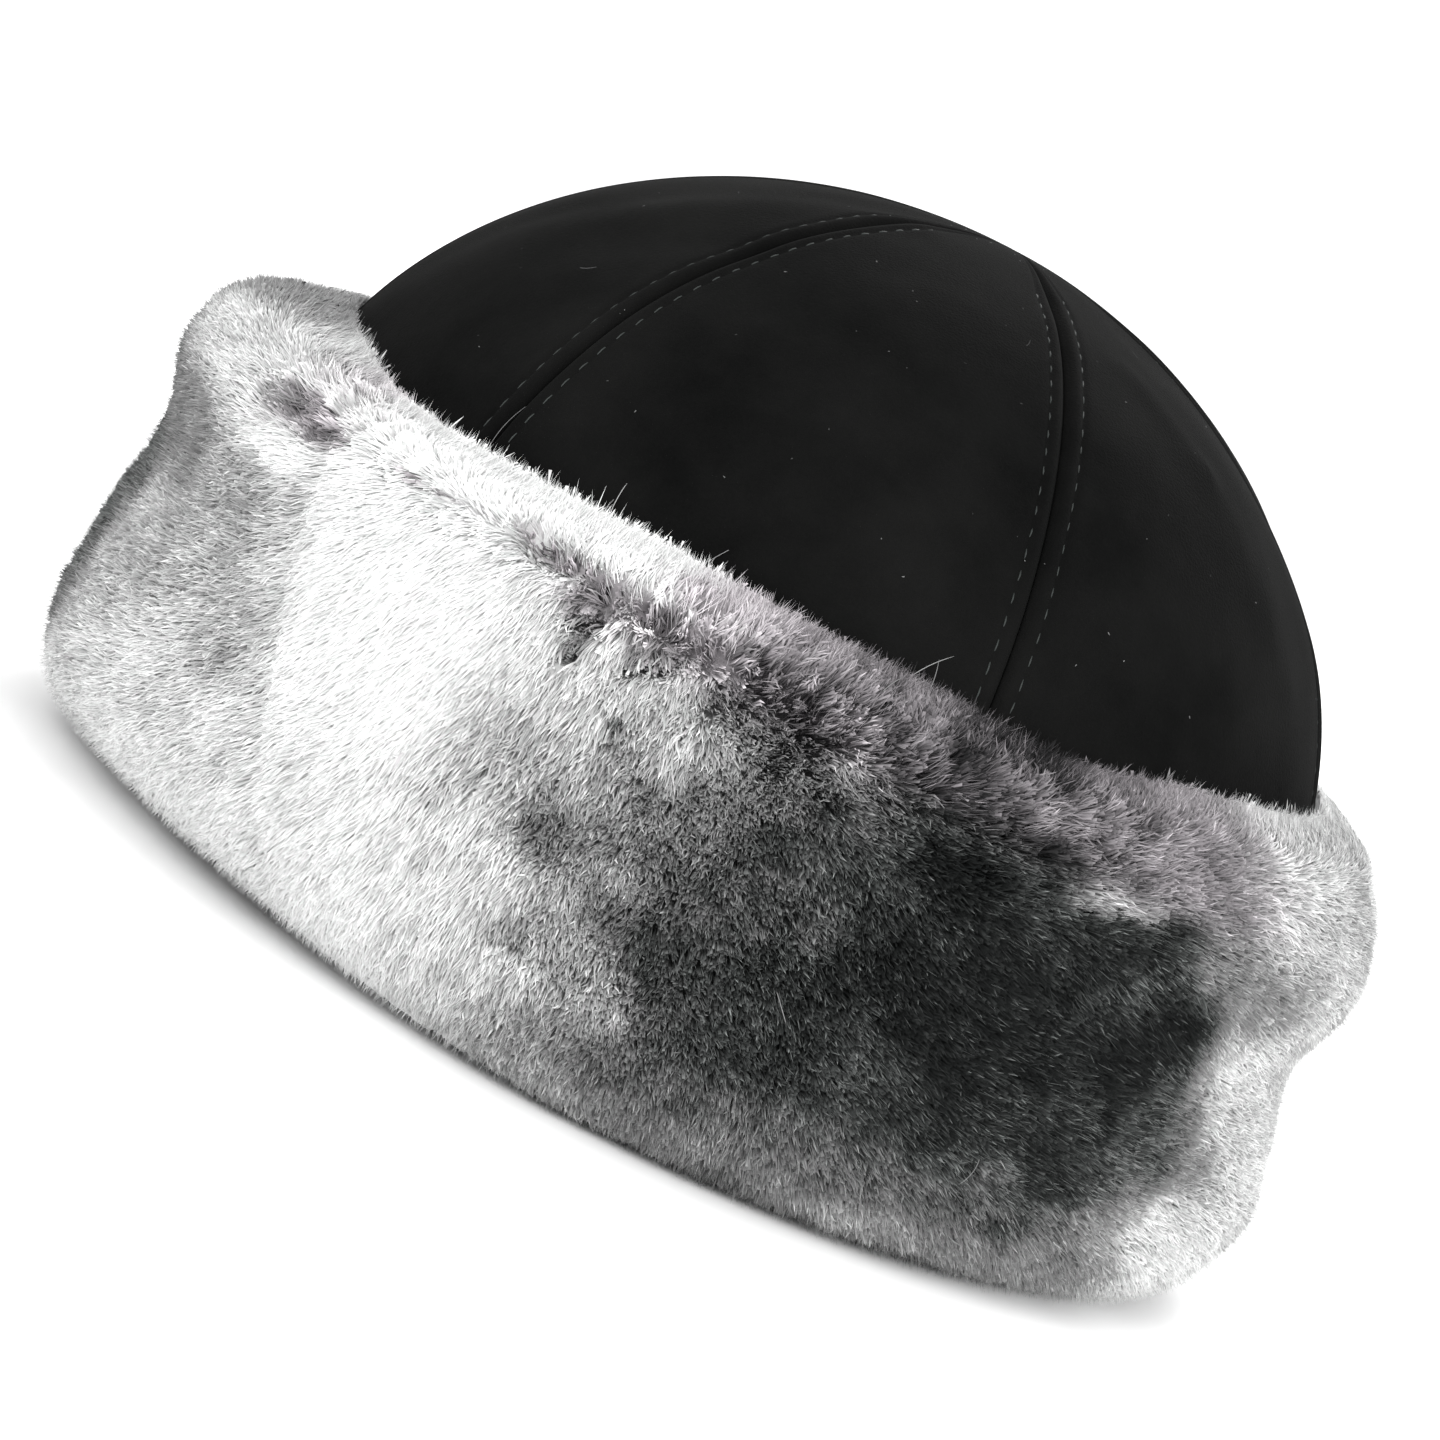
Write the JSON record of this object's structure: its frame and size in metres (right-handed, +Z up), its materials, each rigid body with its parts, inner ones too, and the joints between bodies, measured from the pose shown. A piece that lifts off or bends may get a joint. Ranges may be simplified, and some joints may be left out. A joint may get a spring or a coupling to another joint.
{
  "type": "fur toque",
  "caption": "Domed suede gore hat with topstitched seams and a thick turned-up fur cuff, standing upright on its rim.",
  "frame": {"origin": "on the surface that the hat stands on, under the middle of the crown", "axes": "+Z up through the top of the crown, -Y towards the side that the picture shows, +X to that view's right"},
  "size_m": [0.2466, 0.2402, 0.154],
  "materials": {
    "suede": "napped black suede, matt",
    "fur": "short dense dyed fur, white through grey to near black",
    "thread": "dark grey sewing thread, slightly shiny"
  },
  "bodies": {
    "root": {"crown_gore_1": "suede", "crown_gore_2": "suede", "crown_gore_3": "suede", "crown_gore_4": "suede", "crown_gore_5": "suede", "crown_gore_6": "suede", "cuff_pelt_1": "fur", "cuff_pelt_2": "fur", "cuff_pelt_3": "fur"}
  },
  "joints": []
}
